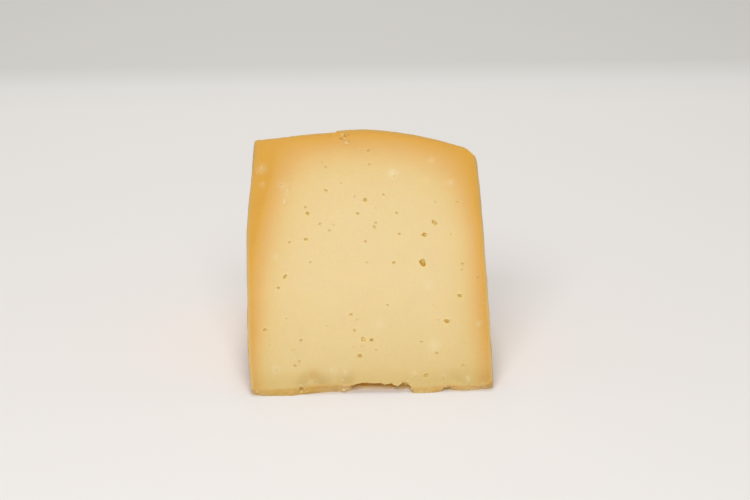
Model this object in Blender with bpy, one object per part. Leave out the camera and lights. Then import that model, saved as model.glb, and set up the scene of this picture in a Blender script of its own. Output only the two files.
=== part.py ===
"""A wedge of smoked parmesan, cut from a small wheel and lying on one of its two cut faces.

The wheel's axis runs along X through the wedge's thin front edge, and the wedge opens away
from that edge, towards +Y and up. A point of the cheese is given by its place along the axis,
its distance from the axis, and its angle up from the table. The rind covers the wheel's two
flat sides, left and right, and its heel at the back. The other cut face leans back, facing
forward and up. The whole wedge is one solid.
"""

import math
import random

import bmesh
import bpy
from mathutils import Matrix, Vector, noise

MM = 0.001

# The wheel and the cut
WHEEL_HEIGHT = 90.3 * MM
WHEEL_RADIUS = 108.1 * MM
WEDGE_ANGLE = math.radians(50.0)

# Both sides draw in at the thin front edge
LEFT_DRAW = 0.7 * MM
RIGHT_DRAW = 0.8 * MM
DRAW_REACH = 13.0 * MM

# The wheel's left side swells a little and falls in towards the heel
LEFT_BELLY = 0.4 * MM
LEFT_TAPER_START = 68.0 * MM
LEFT_TAPER_BLEND = 6.0 * MM
LEFT_TAPER_SLOPE = 0.095

# Its right side stays flat for longer
RIGHT_TAPER = 2.0 * MM
RIGHT_TAPER_POWER = 3

# The heel is crowned, falls further to the right, and has a low ledge left of its peak
HEEL_PEAK = 43.0 * MM
LEDGE_PLACE = 34.6 * MM
LEDGE_WIDTH = 1.6 * MM
LEDGE_FALL = 0.6 * MM
LEFT_FALL = 3.7 * MM
LEFT_FALL_POWER = 1.4
RIGHT_FALL = 9.6 * MM
RIGHT_FALL_POWER = 1.9
LEFT_CORNER_RADIUS = 1.2 * MM
RIGHT_CORNER_RADIUS = 5.4 * MM

# The thin front edge is blunt and crumbled, in mm: place along the axis, distance from the
# axis where the leaning face breaks off, distance from the axis where the table face does
FRONT_EDGE = (
    (0.0, 3.4, 3.0),
    (2.5, 2.6, 1.5),
    (7.5, 2.4, 0.4),
    (14.5, 2.6, 0.2),
    (18.5, 3.0, 1.1),
    (23.0, 3.6, 1.9),
    (29.5, 3.9, 3.3),
    (36.5, 3.6, 4.3),
    (39.5, 3.9, 6.8),
    (44.0, 4.2, 7.6),
    (48.5, 4.0, 7.2),
    (53.0, 3.6, 7.8),
    (58.3, 4.2, 6.7),
    (60.0, 2.0, 0.0),
    (64.0, 2.0, -0.2),
    (68.5, 2.2, 0.9),
    (71.5, 2.4, 3.0),
    (73.2, 3.3, 5.0),
    (74.8, 2.4, 2.6),
    (79.0, 2.1, 1.1),
    (85.0, 2.4, 2.6),
    (88.5, 2.8, 3.6),
    (90.3, 4.2, 5.2),
)

# The unevenness of the rind, of the knife's cut and of the crumbled edge
RIND_RELIEF = 0.35 * MM
RIND_WAVE = 17.0 * MM
CUT_RELIEF = 0.20 * MM
CUT_WAVE = 26.0 * MM
CRUMB_RELIEF = 0.45 * MM
CRUMB_WAVE = 4.0 * MM
RELIEF_SEED = Vector((3.7, 11.2, 5.9))

# The pit beside the heel's ledge and the eyes that show on the leaning face, in mm: place
# along the axis, distance from the axis, width, height and turn in degrees
LEANING_FACE_EYES = (
    (38.3, 104.4, 2.8, 2.0, 30),
    (66.3, 51.6, 1.9, 3.2, 18),
    (74.1, 28.1, 2.5, 1.7, -12),
    (71.4, 68.1, 2.1, 1.4, -35),
    (67.3, 63.3, 2.0, 1.5, -30),
    (48.6, 67.4, 1.2, 1.9, 8),
    (45.3, 78.1, 1.5, 1.5, 0),
    (30.4, 82.4, 1.7, 1.2, -38),
    (23.2, 73.0, 1.5, 1.2, 0),
    (42.2, 72.6, 1.4, 1.2, 20),
    (22.3, 62.3, 1.4, 1.3, 0),
    (14.2, 47.1, 1.8, 1.2, 40),
    (79.4, 38.2, 1.5, 1.2, -10),
    (45.6, 21.3, 1.5, 1.4, 0),
    (41.1, 15.1, 1.4, 1.5, 15),
    (65.2, 7.0, 1.9, 1.2, 22),
    (55.2, 52.0, 1.3, 1.2, 0),
    (44.8, 61.0, 1.3, 1.2, 0),
    (69.7, 15.7, 1.3, 1.1, -20),
    (52.5, 79.9, 1.2, 1.2, 0),
    (30.5, 92.1, 1.3, 1.2, 30),
)
EYE_DEPTH_RATIO = 0.75
EYE_SINK_RATIO = 0.20

# The table face has eyes of the same sizes, away from the middle where it rests
TABLE_FACE_EYE_COUNT = 16
TABLE_FACE_EYE_SIZES = (1.2 * MM, 2.4 * MM)
TABLE_FACE_EDGE = 12.0 * MM
TABLE_FACE_REST_RADIUS = 14.0 * MM
TABLE_FACE_REST = (WHEEL_HEIGHT / 2.0, WHEEL_RADIUS / 2.0)
EYE_GAP = 5.0 * MM
EYE_SEED = 41

# How finely the solid is divided
COLUMNS = 46
ROWS = 34
LAYERS = 10

SHARP_ANGLE = math.radians(35.0)
TINY = 1e-5

PASTE_COLOUR = (0.81, 0.62, 0.31, 1.0)
PASTE_ROUGHNESS = 0.45
RIND_COLOUR = (0.68, 0.37, 0.13, 1.0)
RIND_ROUGHNESS = 0.50


def clear_scene():
    for item in list(bpy.data.objects):
        bpy.data.objects.remove(item, do_unlink=True)


def food_material(name, colour, roughness):
    material = bpy.data.materials.new(name)
    material.use_nodes = True
    surface = material.node_tree.nodes["Principled BSDF"]
    surface.inputs["Base Color"].default_value = colour
    surface.inputs["Roughness"].default_value = roughness
    surface.inputs["Metallic"].default_value = 0.0
    return material


def smooth_step(value):
    value = min(max(value, 0.0), 1.0)
    return value * value * (3.0 - 2.0 * value)


def left_side(radius):
    """Where the wheel's left flat side stands along the axis, at this distance from it."""
    past_start = radius - LEFT_TAPER_START
    taper = LEFT_TAPER_SLOPE * 0.5 * (past_start + math.hypot(past_start, LEFT_TAPER_BLEND))
    draw = LEFT_DRAW * (1.0 - smooth_step(radius / DRAW_REACH))
    return taper + draw - LEFT_BELLY


def right_side(radius):
    taper = RIGHT_TAPER * (radius / WHEEL_RADIUS) ** RIGHT_TAPER_POWER
    draw = RIGHT_DRAW * (1.0 - smooth_step(radius / DRAW_REACH))
    return WHEEL_HEIGHT - taper - draw


def heel_radius(along):
    """The heel's distance from the axis, at this place along it."""
    if along < HEEL_PEAK:
        share = (HEEL_PEAK - along) / HEEL_PEAK
        ledge = LEDGE_FALL * smooth_step((LEDGE_PLACE - along) / LEDGE_WIDTH)
        return WHEEL_RADIUS - ledge - LEFT_FALL * share ** LEFT_FALL_POWER
    share = (along - HEEL_PEAK) / (WHEEL_HEIGHT - HEEL_PEAK)
    return WHEEL_RADIUS - RIGHT_FALL * share ** RIGHT_FALL_POWER


def front_edge(along):
    """Where the leaning face and the table face break off at the crumbled front edge."""
    for (start, *first), (end, *last) in zip(FRONT_EDGE, FRONT_EDGE[1:]):
        if along <= end * MM:
            break
    share = (along / MM - start) / (end - start)
    return [MM * (low + (high - low) * share) for low, high in zip(first, last)]


def round_corner(into_side, into_heel):
    """A point of the unit square, drawn into the unit quarter circle."""
    return (
        into_side * math.sqrt(1.0 - 0.5 * into_heel * into_heel),
        into_heel * math.sqrt(1.0 - 0.5 * into_side * into_side),
    )


def outline_point(across, outward, front):
    """A point of the wheel's half section, from its shares across the wheel and out to the heel."""
    heel = heel_radius(across * WHEEL_HEIGHT)
    radius = front + (heel - front) * outward
    left = left_side(radius)
    right = right_side(radius)
    along = left + (right - left) * across
    for side, corner, direction in (
        (left, LEFT_CORNER_RADIUS, -1.0),
        (right, RIGHT_CORNER_RADIUS, 1.0),
    ):
        into_side = 1.0 - direction * (side - along) / corner
        into_heel = 1.0 - (heel - radius) / corner
        if into_side > 0.0 and into_heel > 0.0:
            side_share, heel_share = round_corner(into_side, into_heel)
            along = side + direction * corner * (side_share - 1.0)
            radius = heel + corner * (heel_share - 1.0)
    return along, radius


def relief(place, wave, depth):
    return depth * noise.noise(place / wave + RELIEF_SEED)


def wedge_point(across, outward, swing):
    """The place of a point of the unit block, once it is bent into the wedge.

    The block's three shares run across the wheel, out to its heel and up from the table.
    """
    face_break, table_break = front_edge(across * WHEEL_HEIGHT)
    leaning = Vector((0.0, math.cos(WEDGE_ANGLE), math.sin(WEDGE_ANGLE)))
    front_point = Vector((0.0, table_break, 0.0)).lerp(leaning * face_break, swing)
    front = front_point.length
    along, radius = outline_point(across, outward, front)
    heel = outline_point(across, 1.0, front)[1]
    ray = Vector((0.0, math.cos(WEDGE_ANGLE * swing), math.sin(WEDGE_ANGLE * swing)))
    place = front_point.lerp(ray * heel, (radius - front) / (heel - front))
    place.x = along
    if across in (0.0, 1.0):
        place.x += (2.0 * across - 1.0) * relief(place, RIND_WAVE, RIND_RELIEF)
    if outward == 1.0:
        place += ray * relief(place, RIND_WAVE, RIND_RELIEF)
    if outward == 0.0 and 0.0 < swing < 1.0:
        place.y += relief(place, CRUMB_WAVE, CRUMB_RELIEF)
    if swing == 1.0:
        place += Vector((0.0, -ray.z, ray.y)) * relief(place, CUT_WAVE, CUT_RELIEF)
    return place


def build_wedge(paste, rind):
    """A gridded unit block, swung up from a flat sheet and then bent into the wedge."""
    bm = bmesh.new()
    bmesh.ops.create_grid(bm, x_segments=COLUMNS, y_segments=ROWS, size=0.5)
    bmesh.ops.translate(bm, verts=bm.verts, vec=(0.5, 0.5, 0.0))
    sheet = bm.faces[:] + bm.edges[:]
    for _ in range(LAYERS):
        raised = bmesh.ops.extrude_face_region(bm, geom=sheet)["geom"]
        corners = [item for item in raised if isinstance(item, bmesh.types.BMVert)]
        sheet = [item for item in raised if not isinstance(item, bmesh.types.BMVert)]
        bmesh.ops.translate(bm, verts=corners, vec=(0.0, 0.0, 1.0 / LAYERS))
    bmesh.ops.recalc_face_normals(bm, faces=bm.faces)
    for face in bm.faces:
        middle = face.calc_center_median()
        on_rind = min(middle.x, 1.0 - middle.x, 1.0 - middle.y) < TINY
        face.material_index = 1 if on_rind else 0
    table_faces = [face for face in bm.faces if face.calc_center_median().z < TINY]
    for vert in bm.verts:
        across, outward, swing = (round(value, 5) for value in vert.co)
        vert.co = wedge_point(across, outward, swing)
    bmesh.ops.dissolve_faces(bm, faces=table_faces)
    mesh = bpy.data.meshes.new("cheese")
    bm.to_mesh(mesh)
    bm.free()
    mesh.materials.append(paste)
    mesh.materials.append(rind)
    mesh.shade_smooth()
    mesh.set_sharp_from_angle(angle=SHARP_ANGLE)
    cheese = bpy.data.objects.new("cheese", mesh)
    bpy.context.collection.objects.link(cheese)
    return cheese


def leaning_face_frame():
    """X along the axis, Y up the leaning face and Z out of it."""
    return Matrix.Rotation(WEDGE_ANGLE, 4, "X")


def table_face_frame():
    """X back along the axis, Y across the table face and Z down out of it."""
    return Matrix.Rotation(math.pi, 4, "Y")


def add_eye(bm, frame, along, outward, width, height, turn):
    """An egg-shaped hole, sunk a little below the face that it opens in."""
    depth = EYE_DEPTH_RATIO * min(width, height)
    sink = EYE_SINK_RATIO * min(width, height)
    place = Matrix.Translation((along, outward, -sink)) @ Matrix.Rotation(turn, 4, "Z")
    size = Matrix.Diagonal((width / 2.0, height / 2.0, depth, 1.0))
    bmesh.ops.create_icosphere(bm, subdivisions=2, radius=1.0, matrix=frame @ place @ size)


def table_face_eyes():
    """Seeded places on the table face, clear of each other, of its edges and of its middle."""
    draw = random.Random(EYE_SEED)
    middle = Vector(TABLE_FACE_REST)
    places = []
    while len(places) < TABLE_FACE_EYE_COUNT:
        place = Vector((
            draw.uniform(TABLE_FACE_EDGE, WHEEL_HEIGHT - TABLE_FACE_EDGE),
            draw.uniform(TABLE_FACE_EDGE, WHEEL_RADIUS - TABLE_FACE_EDGE),
        ))
        clear = (place - middle).length > TABLE_FACE_REST_RADIUS
        if clear and all((place - other).length > EYE_GAP for other in places):
            places.append(place)
    small, large = TABLE_FACE_EYE_SIZES
    return [
        (place.x, place.y, draw.uniform(small, large), draw.uniform(small, large), draw.uniform(0.0, math.pi))
        for place in places
    ]


def build_eye_cutter(paste):
    bm = bmesh.new()
    for along, outward, width, height, turn in LEANING_FACE_EYES:
        sizes = (along * MM, outward * MM, width * MM, height * MM)
        add_eye(bm, leaning_face_frame(), *sizes, math.radians(turn))
    for along, outward, width, height, turn in table_face_eyes():
        add_eye(bm, table_face_frame(), -along, outward, width, height, turn)
    mesh = bpy.data.meshes.new("eye_cutter")
    bm.to_mesh(mesh)
    bm.free()
    mesh.materials.append(paste)
    cutter = bpy.data.objects.new("eye_cutter", mesh)
    bpy.context.collection.objects.link(cutter)
    cutter.hide_render = True
    cutter.display_type = "WIRE"
    return cutter


def centre_on_base(cheese, cutter):
    """Both meshes are moved so that the origin is under the middle of the cheese's box."""
    spots = [vert.co for vert in cheese.data.vertices]
    middle_x = (min(spot.x for spot in spots) + max(spot.x for spot in spots)) / 2.0
    middle_y = (min(spot.y for spot in spots) + max(spot.y for spot in spots)) / 2.0
    shift = Matrix.Translation((-middle_x, -middle_y, 0.0))
    cheese.data.transform(shift)
    cutter.data.transform(shift)


def build():
    clear_scene()
    paste = food_material("cheese_paste", PASTE_COLOUR, PASTE_ROUGHNESS)
    rind = food_material("cheese_rind", RIND_COLOUR, RIND_ROUGHNESS)
    cheese = build_wedge(paste, rind)
    cutter = build_eye_cutter(paste)
    centre_on_base(cheese, cutter)
    eyes = cheese.modifiers.new("eyes", "BOOLEAN")
    eyes.operation = "DIFFERENCE"
    eyes.object = cutter


build()
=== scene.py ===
"""The looks of a wedge of smoked parmesan, cut from a small wheel and lying on a cut face.

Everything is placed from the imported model's own box. As in the model, a point of the cheese is
given by its place along the wheel's axis, its distance from that axis, and its angle up from
the table. The rind covers the wheel's two flat sides, left and right, and its heel at the back.
The other cut face leans back, facing forward and up.
"""

import math
import random

import bpy
from mathutils import Matrix, Vector, noise


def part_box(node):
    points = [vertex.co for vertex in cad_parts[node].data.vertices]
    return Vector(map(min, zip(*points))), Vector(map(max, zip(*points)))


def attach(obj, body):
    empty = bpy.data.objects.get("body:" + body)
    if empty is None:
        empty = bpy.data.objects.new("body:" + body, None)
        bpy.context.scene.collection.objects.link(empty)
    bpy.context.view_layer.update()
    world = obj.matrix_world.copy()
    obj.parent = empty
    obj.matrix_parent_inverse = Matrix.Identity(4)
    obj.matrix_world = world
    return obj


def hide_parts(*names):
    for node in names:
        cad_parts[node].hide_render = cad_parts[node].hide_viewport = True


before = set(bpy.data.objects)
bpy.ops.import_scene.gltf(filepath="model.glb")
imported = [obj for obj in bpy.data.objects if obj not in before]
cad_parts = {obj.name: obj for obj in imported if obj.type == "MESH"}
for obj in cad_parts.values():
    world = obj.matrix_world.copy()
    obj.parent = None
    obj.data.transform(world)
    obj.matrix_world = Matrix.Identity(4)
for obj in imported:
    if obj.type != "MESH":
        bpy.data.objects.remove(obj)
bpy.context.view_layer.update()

MM = 0.001

# The wheel's left flat side bulges this far to the left of the axis's start, and the table
# face's lip this far in front of the axis
LEFT_BULGE = 0.612 * MM
FRONT_BULGE = 0.141 * MM

# The wheel and the cut, as in the model
WHEEL_HEIGHT = 90.3 * MM
WHEEL_RADIUS = 108.1 * MM
WEDGE_ANGLE = math.radians(50.0)
LEANING_NORMAL = Vector((0.0, -math.sin(WEDGE_ANGLE), math.cos(WEDGE_ANGLE)))

# Both sides draw in at the thin front edge
LEFT_DRAW = 0.9 * MM
RIGHT_DRAW = 0.35 * MM
DRAW_REACH = 18.0 * MM

# The wheel's left side stands this much further in at the table than at the leaning face
LEFT_SLANT = 0.9 * MM

# The wheel's left side swells a little and falls in towards the heel, its right side stays flat
LEFT_BELLY = 0.4 * MM
LEFT_TAPER_START = 66.0 * MM
LEFT_TAPER_BLEND = 6.0 * MM
LEFT_TAPER_SLOPE = 0.103
RIGHT_TAPER = 2.0 * MM
RIGHT_TAPER_POWER = 4

# The heel is crowned, falls further to the right, and has a low ledge left of its peak
HEEL_PEAK = 43.0 * MM
LEDGE_PLACE = 33.9 * MM
LEDGE_WIDTH = 0.9 * MM
LEDGE_FALL = 0.6 * MM
LEFT_FALL = 3.55 * MM
LEFT_FALL_POWER = 1.5
RIGHT_FALL = 10.0 * MM
RIGHT_FALL_POWER = 1.8
LEFT_CORNER_RADIUS = 0.8 * MM
RIGHT_CORNER_RADIUS = 4.5 * MM

# The thin front edge is blunt and crumbled, in mm: place along the axis, distance from the
# axis where the leaning face breaks off, distance from the axis where the table face does.
# Between 36 and 60 a long crumb has broken out below a lip with two teeth
FRONT_EDGE = (
    (0.0, 3.4, 2.7),
    (2.5, 2.6, 1.6),
    (7.5, 2.4, 0.9),
    (14.5, 2.6, 0.8),
    (18.5, 3.0, 1.8),
    (23.0, 3.6, 2.6),
    (29.5, 3.9, 3.9),
    (33.5, 3.8, 3.7),
    (35.8, 3.7, 3.7),
    (36.9, 3.7, 4.1),
    (38.0, 3.8, 5.4),
    (39.0, 4.1, 6.0),
    (40.6, 4.6, 6.1),
    (42.9, 4.6, 6.1),
    (45.1, 4.3, 6.1),
    (47.1, 4.2, 5.8),
    (48.4, 4.6, 5.7),
    (49.6, 3.9, 5.5),
    (51.1, 4.0, 5.5),
    (52.3, 4.2, 5.4),
    (53.4, 3.3, 5.4),
    (54.9, 3.2, 5.3),
    (56.4, 4.4, 5.3),
    (57.9, 4.0, 5.2),
    (59.1, 3.3, 5.0),
    (60.0, 2.0, 0.4),
    (64.0, 2.0, 0.2),
    (68.5, 2.2, 0.9),
    (71.0, 2.4, 2.0),
    (72.2, 2.6, 3.6),
    (73.9, 2.7, 3.8),
    (75.2, 2.6, 2.8),
    (79.0, 2.4, 1.7),
    (85.0, 2.7, 2.7),
    (88.5, 3.1, 3.3),
    (90.3, 4.3, 4.4),
)

# The unevenness of the rind, of the knife's cut and of the crumbled edge: the model's own low
# waves, and finer ones over them
RIND_RELIEF = ((17.0 * MM, 0.35 * MM), (5.0 * MM, 0.10 * MM), (2.2 * MM, 0.05 * MM))
CUT_RELIEF = ((26.0 * MM, 0.20 * MM), (8.0 * MM, 0.05 * MM))
CRUMB_RELIEF = ((4.0 * MM, 0.50 * MM), (1.5 * MM, 0.40 * MM))
LIP_RELIEF = ((2.6 * MM, 0.25 * MM), (1.1 * MM, 0.20 * MM))
RELIEF_SEED = Vector((3.7, 11.2, 5.9))

# The ledge wanders by this much further down the heel, over waves of this share of the wedge
LEDGE_WANDER = 1.6 * MM
LEDGE_WANDER_WAVE = 0.3

# The rims are rubbed back a little, and more in a few nicks
RIM_REACH = 1.0 * MM
RIM_WEAR = 0.14 * MM
RIM_WEAR_WAVE = 5.0 * MM
NICK_WAVE = 2.2 * MM
NICK_START = 0.38
NICK_DEPTH = 0.6 * MM

# How finely the wedge is divided, how far its faces are gathered towards the rims, and how near
# to a face a point of the even block still counts as on it
COLUMNS = 200
ROWS = 110
LAYERS = 48
ROW_GATHER = 0.5
LAYER_GATHER = 0.4
TINY = 1e-4
SMOOTH_ANGLE = math.radians(38.0)

# The wedge's material slots. The eyes' own comes with them when they are cut out
PASTE_SLOT = 0
RIND_SLOT = 1
EYE_SLOT = 2

# The eyes on the leaning face, in mm: place along the axis, distance from the axis, width,
# height, turn in degrees, and how much the width grows from the eye's foot to its top
LEANING_FACE_EYES = (
    (47.4, 98.8, 1.1, 1.0, 0, 0.0),
    (47.5, 93.0, 1.1, 0.8, 20, 0.0),
    (30.5, 92.1, 1.1, 0.8, 30, 0.0),
    (29.1, 94.2, 0.6, 0.6, 0, 0.0),
    (30.4, 82.4, 1.7, 1.1, -38, 0.1),
    (41.3, 79.7, 0.6, 1.1, 5, 0.0),
    (45.3, 78.1, 1.6, 1.6, 0, 0.1),
    (52.4, 80.1, 0.9, 1.2, 0, 0.0),
    (22.4, 75.5, 1.0, 1.1, 10, 0.0),
    (23.2, 72.9, 1.5, 1.7, 0, 0.1),
    (42.2, 72.6, 1.4, 1.1, 20, 0.0),
    (57.1, 72.5, 1.1, 1.0, -20, 0.0),
    (80.5, 76.7, 1.0, 0.8, 0, 0.0),
    (71.4, 68.1, 2.6, 1.6, -52, 0.2),
    (67.3, 63.3, 2.0, 1.9, -30, 0.0),
    (48.4, 66.9, 1.2, 1.8, 8, 0.0),
    (49.0, 68.5, 1.0, 1.1, 0, 0.0),
    (27.8, 68.5, 1.1, 1.0, 15, 0.0),
    (31.3, 65.8, 0.9, 0.9, 0, 0.0),
    (22.3, 62.3, 1.5, 1.4, 0, 0.1),
    (16.0, 61.2, 1.1, 1.0, -25, 0.0),
    (44.8, 61.0, 1.1, 1.0, 0, 0.0),
    (57.8, 63.8, 1.1, 1.0, 0, 0.0),
    (55.2, 52.1, 1.3, 1.4, 0, 0.0),
    (66.2, 51.8, 2.3, 3.6, 16, 0.4),
    (81.2, 51.1, 1.1, 1.1, 0, 0.0),
    (14.1, 47.3, 2.2, 1.3, 55, 0.0),
    (11.4, 42.8, 1.2, 1.3, 0, 0.0),
    (79.4, 38.2, 1.6, 1.6, -10, 0.1),
    (52.1, 35.1, 1.0, 0.7, 0, 0.0),
    (38.3, 31.6, 1.4, 1.2, 15, 0.0),
    (40.3, 29.4, 0.7, 0.7, 0, 0.0),
    (39.4, 25.3, 1.0, 1.1, 0, 0.0),
    (74.1, 28.1, 2.5, 1.8, -6, 0.5),
    (70.8, 28.7, 1.1, 0.5, 0, 0.0),
    (14.2, 30.6, 0.7, 0.7, 0, 0.0),
    (6.0, 26.2, 1.4, 1.5, 0, 0.0),
    (19.4, 21.8, 1.2, 1.1, 0, 0.0),
    (18.6, 13.5, 1.0, 1.1, 0, 0.0),
    (16.9, 11.9, 1.1, 1.1, 0, 0.0),
    (45.6, 21.3, 1.6, 1.5, 0, 0.0),
    (47.2, 17.4, 0.7, 0.7, 0, 0.0),
    (41.1, 15.1, 1.5, 1.9, 15, 0.1),
    (64.2, 20.2, 1.1, 1.0, 0, 0.0),
    (69.7, 15.7, 1.3, 1.2, -20, 0.0),
    (79.3, 10.6, 1.2, 1.1, -30, 0.0),
    (65.2, 7.0, 2.3, 1.7, 22, 0.0),
    (80.5, 6.0, 0.8, 0.8, 0, 0.0),
)

# How deep an eye goes and how far its middle is sunk, as shares of its smaller size, how uneven
# its wall is, and the depth from which its painted shade is the deepest
EYE_DEPTH_RATIO = 0.38
EYE_SINK_RATIO = 0.10
EYE_UNEVENNESS = 0.32
DEEP_EYE = 1.5 * MM

# The product of width and height, in square mm, from which an eye shows a pale rim of painted
# light, and how much more makes the rim clear
SMALL_EYE_AREA = 0.8
LARGE_EYE_AREA = 1.6

# Eyes that the knife only grazed, as shallow dents, in mm: place along the axis, distance from
# the axis, width, height, turn in degrees and depth. No two eyes overlap
GRAZED_EYES = (
    (38.6, 105.1, 1.1, 1.0, 0, 0.45),
    (37.0, 103.9, 1.2, 1.4, 0, 0.45),
    (39.9, 105.7, 0.9, 0.7, 0, 0.3),
    (39.8, 102.8, 0.8, 1.2, 0, 0.3),
    (18.9, 3.1, 1.2, 0.9, 0, 1.2),
    (56.9, 87.9, 0.8, 0.6, 10, 0.25),
    (72.2, 76.8, 0.9, 0.7, 0, 0.3),
    (77.3, 63.3, 0.9, 0.8, 0, 0.3),
    (23.7, 52.9, 1.0, 0.9, 0, 0.3),
    (44.9, 52.4, 1.0, 0.9, 0, 0.3),
    (86.8, 45.4, 0.9, 0.9, 0, 0.25),
    (69.4, 34.7, 0.8, 0.7, 0, 0.25),
    (42.6, 21.7, 1.9, 2.3, 25, 0.6),
    (42.1, 18.9, 1.0, 0.8, 0, 0.2),
    (7.6, 20.3, 1.2, 1.3, 0, 0.3),
    (16.5, 17.9, 1.0, 1.0, 0, 0.3),
    (29.3, 27.2, 1.0, 0.9, 0, 0.25),
    (33.0, 68.0, 0.8, 0.7, 0, 0.2),
    (38.8, 18.7, 0.9, 0.8, 0, 0.2),
    (80.8, 48.7, 1.0, 0.7, 0, 0.25),
    (49.1, 74.6, 0.9, 0.8, 0, 0.2),
    (36.2, 85.2, 1.0, 0.7, 0, 0.2),
)

# Pale crumbs that stick to the leaning face, in mm: place along the axis, distance from the
# axis, width, height and turn in degrees. They stand out by the same depth
FACE_CRUMBS = (
    (6.3, 92.2, 1.3, 1.6, 10),
    (4.7, 93.9, 0.7, 0.9, 0),
    (4.0, 90.0, 0.8, 1.0, -20),
    (6.6, 85.6, 0.8, 1.2, 0),
    (16.8, 87.4, 0.4, 2.2, 0),
    (16.2, 84.8, 0.7, 2.0, -8),
    (15.7, 82.5, 0.9, 1.9, 6),
    (14.5, 78.1, 1.0, 2.0, -4),
    (13.2, 85.4, 1.6, 1.0, 10),
    (38.4, 104.1, 0.9, 1.1, 0),
    (38.9, 102.3, 1.5, 1.2, 15),
    (37.4, 105.9, 1.3, 1.3, 30),
    (78.4, 84.9, 0.9, 1.6, 10),
    (85.9, 27.0, 1.3, 1.5, 20),
    (88.4, 35.0, 0.6, 0.8, 0),
    (89.2, 22.0, 0.7, 1.0, 0),
    (9.8, 10.8, 1.0, 2.4, 28),
    (31.0, 10.0, 1.7, 1.0, 25),
    (35.6, 9.0, 1.5, 1.4, 0),
    (22.8, 5.3, 2.5, 0.8, 25),
    (24.0, 6.2, 1.2, 0.6, 20),
    (18.8, 4.3, 1.3, 0.6, 0),
    (34.3, 5.9, 1.2, 0.8, 0),
    (71.4, 7.0, 0.8, 2.2, 14),
    (72.4, 4.9, 0.8, 1.8, -14),
    (80.9, 5.2, 1.5, 3.4, 6),
    (80.2, 3.2, 0.9, 1.2, 0),
    (86.1, 3.6, 1.2, 0.9, 0),
    (58.4, 5.0, 1.4, 1.2, 10),
    (61.0, 6.9, 1.0, 0.8, 0),
)
FACE_CRUMB_DEPTH = 0.20

# Crumbs that stick to the broken front edge, in mm: place along the axis, share of the way up
# the broken strip, and size. They are turned about one slanting axis, each by another angle
EDGE_CRUMBS = (
    (2.9, 0.75, 1.2),
    (4.6, 0.30, 0.9),
    (17.6, 0.75, 0.8),
    (20.2, 0.80, 0.8),
    (18.9, 0.40, 0.8),
    (34.5, 0.35, 1.6),
    (33.2, 0.55, 1.1),
    (36.0, 0.45, 1.0),
    (49.9, 0.97, 0.8),
    (54.6, 0.97, 0.9),
    (57.9, 0.90, 1.4),
    (59.8, 0.80, 1.0),
    (66.0, 0.90, 0.7),
    (72.4, 0.95, 1.1),
    (74.5, 0.85, 0.8),
    (80.3, 0.50, 1.2),
    (86.3, 0.75, 1.0),
    (88.6, 0.70, 0.8),
)
EDGE_CRUMB_HALF_SIZES = (0.5, 0.35, 0.45)
EDGE_CRUMB_AXIS = (0.3, 0.5, 0.8)
CRUMB_UNEVENNESS = 0.9

# How finely eyes and crumbs are divided, how many waves of unevenness go over their radius, and
# how far each is from the last in the noise that shapes it
EYE_SUBDIVISIONS = 3
CRUMB_SUBDIVISIONS = 2
BLOB_WAVES = 1.1
COPY_STEP = (7.3, 3.1, 1.7)

# How far the lip stands out where the strip starts to curl and to count as an undercut, how
# much further it stands out where the curl is full and the undercut deep, and how strong the
# curl is
CURL_START = 1.7 * MM
CURL_LENGTH = 1.0 * MM
CURL_STRENGTH = 3.0
UNDERCUT_START = 2.2 * MM
UNDERCUT_LENGTH = 0.6 * MM

# The undercut's painted shadow is darkest down to this share of the way up the strip, and at
# its foot, up to another, it is pale and crumbly, with painted light
UNDERCUT_DARK = 0.42
FOOT_RISE = 0.36

# Pale, crumbly stretches of the strip, partly painted light where the strip lies in shade, in
# mm: place along the axis, half length and strength. At the strip's top they have lost most of it
PALE_STRETCHES = (
    (2.0, 3.0, 0.3),
    (29.5, 4.0, 0.3),
    (35.3, 2.8, 0.8),
    (63.5, 4.5, 0.4),
    (71.0, 2.0, 0.3),
    (82.0, 9.0, 0.45),
)
PALE_STRETCH_LOSS = 0.7

# Soft patches on the leaning face by the share that the paste reads, in mm: place along the
# axis, distance from the axis, radius and strength. Low down some are darker and some stained
# amber. In other places it has dried and is pale
SOFT_PATCHES = {
    "darker_patches": (
        (27.3, 5.2, 4.0, 0.9),
        (19.5, 5.0, 4.0, 0.6),
        (35.5, 5.0, 5.0, 0.6),
        (76.5, 5.0, 5.0, 0.45),
        (87.0, 5.0, 5.0, 0.3),
    ),
    "stained": (
        (23.6, 7.8, 3.6, 0.8),
        (20.6, 7.6, 2.6, 0.45),
        (37.0, 7.0, 3.0, 0.3),
    ),
    "dried": (
        (56.2, 89.1, 2.6, 0.9),
        (71.6, 94.4, 2.0, 0.4),
        (78.4, 84.6, 1.6, 0.5),
        (69.0, 86.0, 1.8, 0.3),
        (6.0, 91.8, 2.6, 0.5),
        (13.6, 85.0, 2.2, 0.4),
        (6.2, 85.2, 1.5, 0.4),
        (15.4, 81.5, 1.3, 0.5),
        (10.4, 55.4, 1.8, 0.4),
        (68.0, 43.0, 2.4, 0.5),
        (48.8, 27.6, 2.4, 0.5),
        (68.6, 18.6, 3.0, 0.6),
        (86.0, 27.0, 1.5, 0.5),
        (9.8, 10.8, 2.0, 0.5),
        (30.9, 9.8, 1.6, 0.5),
        (35.6, 8.6, 1.6, 0.5),
        (22.6, 5.8, 1.6, 0.5),
        (80.8, 5.6, 1.6, 0.6),
        (72.0, 6.4, 1.2, 0.5),
        (61.0, 8.0, 1.6, 0.4),
    ),
}

# How steeply the patches fall off
PATCH_FALL = 2.0

# The table face has larger eyes alone, at the model's places, clear of its edges, of its middle
# and of each other, in mm
TABLE_FACE_EYE_COUNT = 16
TABLE_FACE_EYE_SIZES = (1.2, 2.4)
TABLE_FACE_SIDES = (WHEEL_HEIGHT / MM, WHEEL_RADIUS / MM)
TABLE_FACE_EDGE = 12.0
TABLE_FACE_REST_RADIUS = 14.0
EYE_GAP = 5.0
EYE_SEED = 41

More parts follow.
